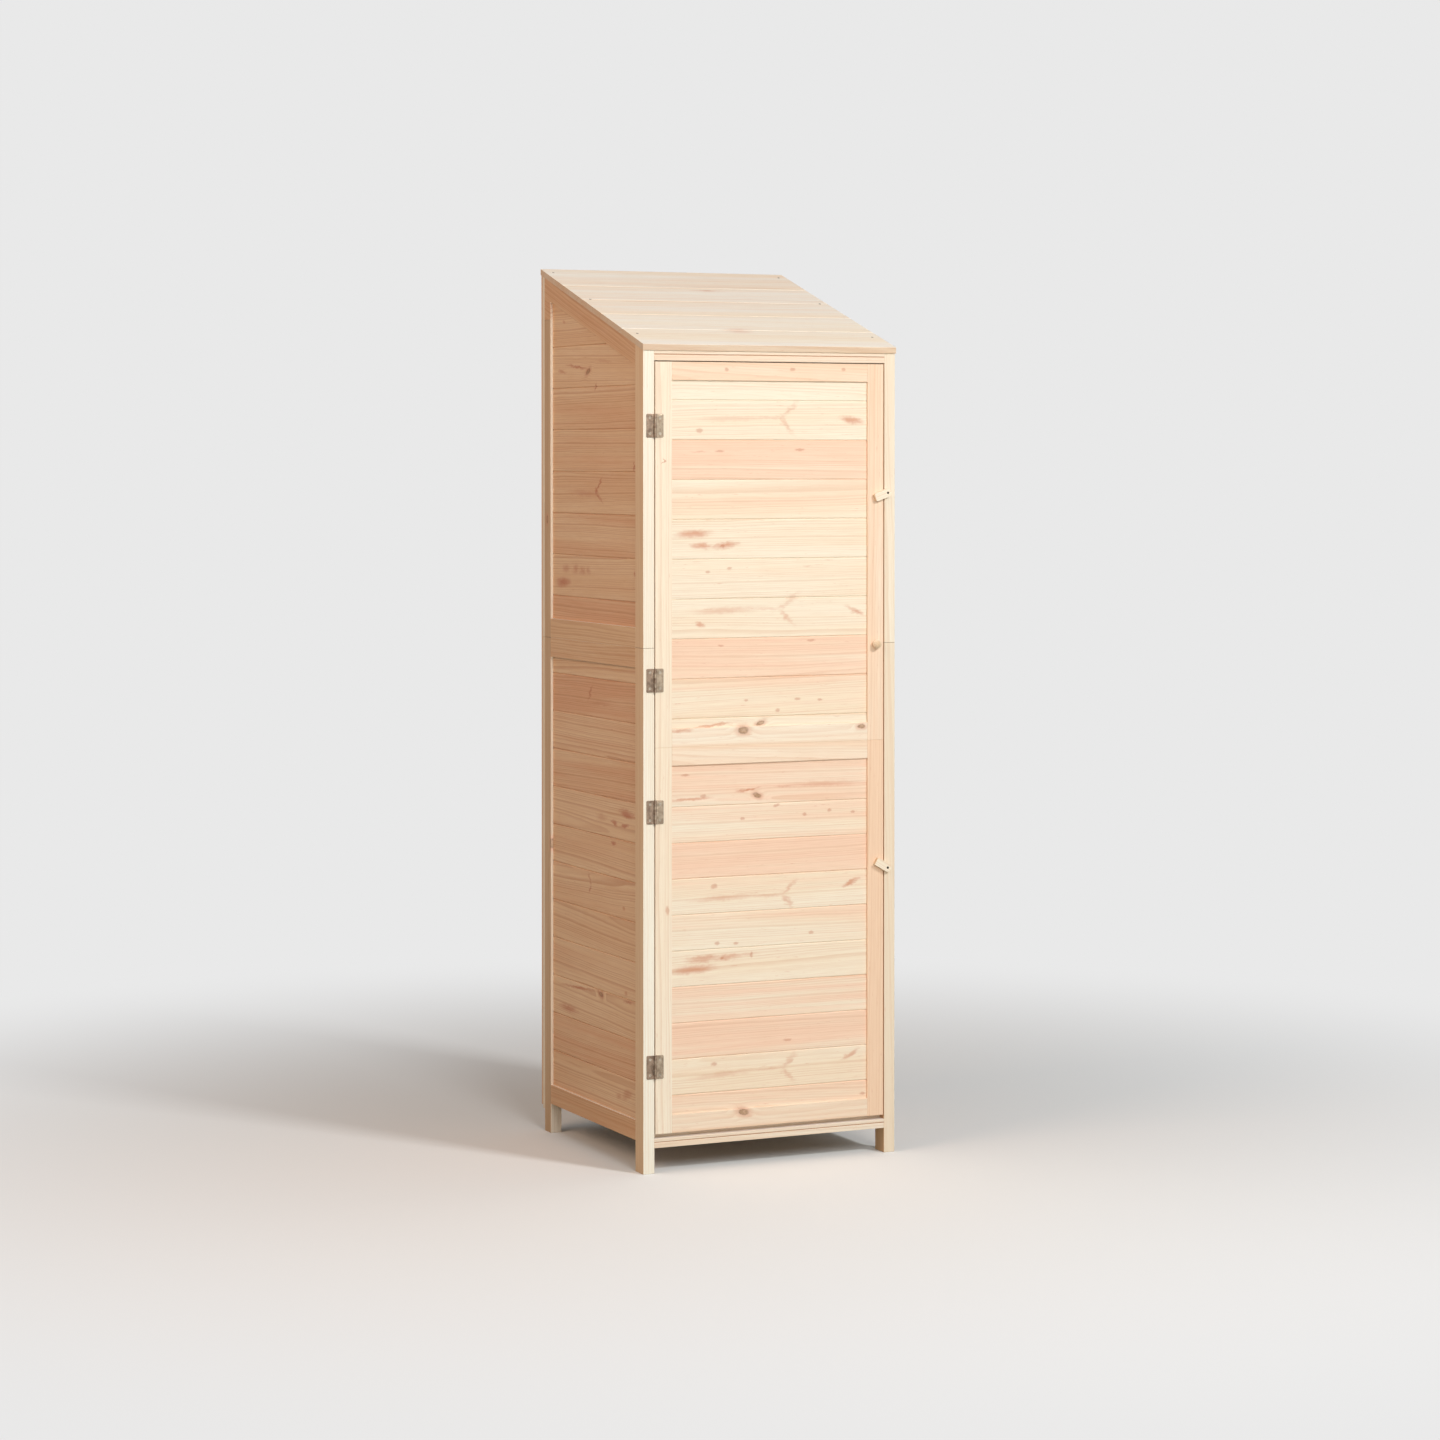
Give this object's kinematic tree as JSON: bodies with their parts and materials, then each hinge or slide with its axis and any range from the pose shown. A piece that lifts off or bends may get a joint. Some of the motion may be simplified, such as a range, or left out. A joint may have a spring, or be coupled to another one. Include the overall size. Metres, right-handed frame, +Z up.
{
  "type": "garden storage cabinet",
  "caption": "Tall upright cabinet of boarded fir panels with a single-pitch roof, a hinged boarded door, wooden turn buttons and a round knob, on short feet.",
  "frame": {"origin": "middle of the cabinet's overall plan (knob and roof included), on the ground that the four feet stand on", "axes": "+Z up, +X to the right as seen from the door, +Y from the door towards the back"},
  "size_m": [0.548, 0.5326, 1.765],
  "materials": {
    "fir_frame": "planed, unpainted",
    "fir_boards": "planed, unpainted",
    "fir_roof": "planed, unpainted",
    "fir_door_frame": "planed, unpainted",
    "fir_door_boards": "planed, unpainted",
    "turned_wood": "turned and sanded",
    "button_wood": "planed",
    "hinge_steel": "zinc plated, dull",
    "screw_steel": "zinc plated, dull"
  },
  "bodies": {
    "cabinet": {"back_lower_boards": "fir_boards", "back_lower_rails": "fir_frame", "back_lower_uprights": "fir_frame", "back_upper_boards": "fir_boards", "back_upper_rails": "fir_frame", "back_upper_uprights": "fir_frame", "cleat_screws": "screw_steel", "door_stop_rail": "fir_frame", "floor_bearers": "fir_frame", "floor_boards": "fir_boards", "front_bearer": "fir_frame", "header_rail": "fir_frame", "hinge_frame_leaves": "hinge_steel", "hinge_frame_screws": "screw_steel", "hinge_pins": "hinge_steel", "left_lower_back_stile": "fir_frame", "left_lower_boards": "fir_boards", "left_lower_bottom_rail": "fir_frame", "left_lower_front_stile": "fir_frame", "left_lower_top_rail": "fir_frame", "left_upper_back_stile": "fir_frame", "left_upper_boards": "fir_boards", "left_upper_bottom_rail": "fir_frame", "left_upper_front_stile": "fir_frame", "left_upper_top_rail": "fir_frame", "lower_shelf_boards": "fir_boards", "lower_shelf_cleats": "fir_frame", "right_lower_back_stile": "fir_frame", "right_lower_boards": "fir_boards", "right_lower_bottom_rail": "fir_frame", "right_lower_front_stile": "fir_frame", "right_lower_top_rail": "fir_frame", "right_upper_back_stile": "fir_frame", "right_upper_boards": "fir_boards", "right_upper_bottom_rail": "fir_frame", "right_upper_front_stile": "fir_frame", "right_upper_top_rail": "fir_frame", "roof_battens": "fir_frame", "roof_boards": "fir_roof", "roof_nails": "screw_steel", "sill_rail": "fir_frame", "turn_button_screws": "screw_steel", "upper_shelf_boards": "fir_boards", "upper_shelf_cleats": "fir_frame"},
    "door": {"door_joining_plates": "hinge_steel", "door_knob": "turned_wood", "door_lower_boards": "fir_door_boards", "door_lower_bottom_rail": "fir_door_frame", "door_lower_left_stile": "fir_door_frame", "door_lower_right_stile": "fir_door_frame", "door_lower_top_rail": "fir_door_frame", "door_screws": "screw_steel", "door_upper_boards": "fir_door_boards", "door_upper_bottom_rail": "fir_door_frame", "door_upper_left_stile": "fir_door_frame", "door_upper_right_stile": "fir_door_frame", "door_upper_top_rail": "fir_door_frame", "hinge_door_leaves": "hinge_steel"},
    "upper_button": {"upper_turn_button": "button_wood"},
    "lower_button": {"lower_turn_button": "button_wood"}
  },
  "joints": [
    {"name": "door_hinge", "type": "hinge", "parent": "cabinet", "child": "door", "pos_m": [-0.248, -0.2538, 0.8], "axis": [0, 0, -1], "range_deg": [0, 175]},
    {"name": "upper_button_turn", "type": "hinge", "parent": "cabinet", "child": "upper_button", "pos_m": [0.253, -0.25555, 1.309], "axis": [0, 1, 0], "continuous": true},
    {"name": "lower_button_turn", "type": "hinge", "parent": "cabinet", "child": "lower_button", "pos_m": [0.253, -0.25555, 0.5665], "axis": [0, 1, 0], "continuous": true}
  ]
}
